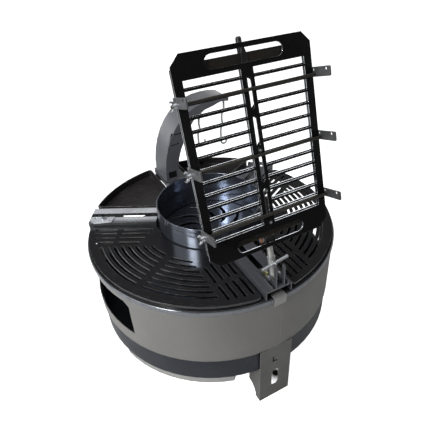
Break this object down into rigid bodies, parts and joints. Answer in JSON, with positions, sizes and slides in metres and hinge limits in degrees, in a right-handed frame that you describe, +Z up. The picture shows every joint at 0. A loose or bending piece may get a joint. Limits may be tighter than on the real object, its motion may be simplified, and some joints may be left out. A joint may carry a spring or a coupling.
{
  "type": "fire pit grill",
  "caption": "Round steel fire pit on legs with a fire tube, cooking plates between radial rails, a hook arm and a clamped grill basket on a leaning mast.",
  "frame": {"origin": "on the ground, on the axis of the round pit", "axes": "+Z up; -Y towards the side that is seen from the front, with the front leg and mast at its right; +X to that viewer's right"},
  "size_m": [0.608, 0.6478, 0.8026],
  "materials": {
    "band_paint": "satin grey paint",
    "dark_enamel": "satin blue-black heat paint",
    "black_steel": "satin black, worn at the edges",
    "griddle_steel": "seasoned, dull",
    "arm_paint": "satin blue-grey paint",
    "zinc": "zinc plated, dull bright",
    "yellow_zinc": "yellow passivated zinc",
    "copper": "copper coloured plating"
  },
  "bodies": {
    "pit": {"outer_band": "band_paint", "base_pan": "dark_enamel", "rim_ring": "dark_enamel", "fire_tube": "dark_enamel", "tube_collar": "dark_enamel", "leg_front": "band_paint", "leg_rear_right": "band_paint", "leg_rear_left": "band_paint", "tray_runner_right": "dark_enamel", "tray_runner_left": "dark_enamel", "rail_front": "zinc", "rail_rear": "zinc", "rail_arm": "zinc", "rail_left": "zinc", "rail_front_clip": "zinc", "rail_rear_clip": "zinc", "rail_arm_clip": "zinc", "rail_left_clip": "zinc", "rail_end_plate": "zinc", "rail_end_bolt": "zinc", "rear_rail_lug": "zinc"},
    "ash_tray": {"ash_tray": "dark_enamel"},
    "swirl_grate": {"swirl_grate": "dark_enamel"},
    "grate_front_left": {"grate_front_left": "black_steel"},
    "grate_right": {"grate_right": "black_steel"},
    "griddle_left": {"griddle_left": "griddle_steel"},
    "griddle_rear": {"griddle_rear": "griddle_steel"},
    "arm_carriage": {"arm_slider": "zinc", "arm_slider_nut": "zinc"},
    "hook_arm": {"hook_arm": "arm_paint"},
    "hook_inner": {"hook_inner": "zinc"},
    "hook_outer": {"hook_outer": "zinc"},
    "mast_carriage": {"mast_slider": "zinc", "slider_stud": "zinc", "mast_yoke": "zinc", "pivot_pin": "zinc"},
    "slider_wing_nut": {"slider_wing_nut": "yellow_zinc"},
    "mast_socket": {"mast_socket": "zinc"},
    "t_handle": {"t_handle_screw": "zinc"},
    "mast": {"mast_rod": "zinc"},
    "basket": {"rear_grid": "black_steel", "right_ear_top": "zinc", "right_ear_middle": "zinc", "right_ear_bottom": "zinc", "left_ear_top": "zinc", "left_ear_middle": "zinc", "left_ear_bottom": "zinc", "basket_collar": "black_steel", "basket_guide": "black_steel", "guide_strap": "zinc", "collar_bolt": "zinc", "collar_nut": "copper"},
    "front_grid": {"front_grid": "black_steel"},
    "clamp_rod_top": {"clamp_rod_top": "black_steel"},
    "clamp_rod_middle": {"clamp_rod_middle": "black_steel"},
    "clamp_rod_bottom": {"clamp_rod_bottom": "black_steel"},
    "wing_nut_top": {"wing_nut_top": "zinc"},
    "wing_nut_middle": {"wing_nut_middle": "zinc"},
    "wing_nut_bottom": {"wing_nut_bottom": "zinc"}
  },
  "joints": [
    {"name": "ash_tray_slide", "type": "slide", "parent": "pit", "child": "ash_tray", "axis": [-0.3518, -0.9361, 0], "range_m": [0, 0.25]},
    {"name": "swirl_grate_lift", "type": "slide", "parent": "pit", "child": "swirl_grate", "axis": [0, 0, 1], "range_m": [0, 0.12]},
    {"name": "grate_front_left_lift", "type": "slide", "parent": "pit", "child": "grate_front_left", "axis": [0, 0, 1], "range_m": [0, 0.04]},
    {"name": "grate_right_lift", "type": "slide", "parent": "pit", "child": "grate_right", "axis": [0, 0, 1], "range_m": [0, 0.04]},
    {"name": "griddle_left_lift", "type": "slide", "parent": "pit", "child": "griddle_left", "axis": [0, 0, 1], "range_m": [0, 0.04]},
    {"name": "griddle_rear_lift", "type": "slide", "parent": "pit", "child": "griddle_rear", "axis": [0, 0, 1], "range_m": [0, 0.04]},
    {"name": "arm_slide", "type": "slide", "parent": "pit", "child": "arm_carriage", "axis": [-0.4384, 0.8988, 0], "range_m": [-0.04, 0]},
    {"name": "arm_swing", "type": "hinge", "parent": "arm_carriage", "child": "hook_arm", "pos_m": [-0.11695, 0.20442, 0.3628], "axis": [0, 0, 1], "range_deg": [-180, 0]},
    {"name": "hook_inner_swing", "type": "hinge", "parent": "hook_arm", "child": "hook_inner", "pos_m": [-0.00895, 0.22594, 0.56762], "axis": [0.8988, 0.4384, 0], "range_deg": [-7, 18]},
    {"name": "hook_outer_swing", "type": "hinge", "parent": "hook_arm", "child": "hook_outer", "pos_m": [0.05486, 0.25707, 0.57128], "axis": [0.8988, 0.4384, 0], "range_deg": [-18, 18]},
    {"name": "mast_slide", "type": "slide", "parent": "pit", "child": "mast_carriage", "axis": [-0.4384, 0.8988, 0], "range_m": [0, 0.06]},
    {"name": "slider_wing_nut_turn", "type": "hinge", "parent": "mast_carriage", "child": "slider_wing_nut", "pos_m": [0.11266, -0.23099, 0.3663], "axis": [0, 0, 1], "continuous": true},
    {"name": "mast_tilt", "type": "hinge", "parent": "mast_carriage", "child": "mast_socket", "pos_m": [0.12222, -0.25058, 0.377], "axis": [0.8988, 0.4384, 0], "range_deg": [-25, 4]},
    {"name": "t_handle_turn", "type": "hinge", "parent": "mast_socket", "child": "t_handle", "pos_m": [0.12286, -0.25191, 0.41308], "axis": [0.4205, -0.8622, 0.2823], "continuous": true},
    {"name": "mast_turn", "type": "hinge", "parent": "mast_socket", "child": "mast", "pos_m": [0.12061, -0.24729, 0.38947], "axis": [-0.1238, 0.2538, 0.9593], "range_deg": [0, 180]},
    {"name": "basket_height", "type": "slide", "parent": "mast", "child": "basket", "axis": [-0.1238, 0.2538, 0.9593], "range_m": [0, 0.03]},
    {"name": "front_grid_lift", "type": "slide", "parent": "basket", "child": "front_grid", "axis": [-0.1238, 0.2538, 0.9593], "range_m": [0, 0.38]},
    {"name": "clamp_rod_top_slide", "type": "slide", "parent": "basket", "child": "clamp_rod_top", "axis": [-0.8988, -0.4384, 0], "range_m": [0, 0.28]},
    {"name": "wing_nut_top_turn", "type": "hinge", "parent": "clamp_rod_top", "child": "wing_nut_top", "pos_m": [-0.03535, -0.23228, 0.7271], "axis": [0.8988, 0.4384, 0], "continuous": true},
    {"name": "clamp_rod_middle_slide", "type": "slide", "parent": "basket", "child": "clamp_rod_middle", "axis": [-0.8988, -0.4384, 0], "range_m": [0, 0.28]},
    {"name": "wing_nut_middle_turn", "type": "hinge", "parent": "clamp_rod_middle", "child": "wing_nut_middle", "pos_m": [-0.02155, -0.26058, 0.62013], "axis": [0.8988, 0.4384, 0], "continuous": true},
    {"name": "clamp_rod_bottom_slide", "type": "slide", "parent": "basket", "child": "clamp_rod_bottom", "axis": [-0.8988, -0.4384, 0], "range_m": [0, 0.28]},
    {"name": "wing_nut_bottom_turn", "type": "hinge", "parent": "clamp_rod_bottom", "child": "wing_nut_bottom", "pos_m": [-0.00769, -0.289, 0.51269], "axis": [0.8988, 0.4384, 0], "continuous": true}
  ]
}
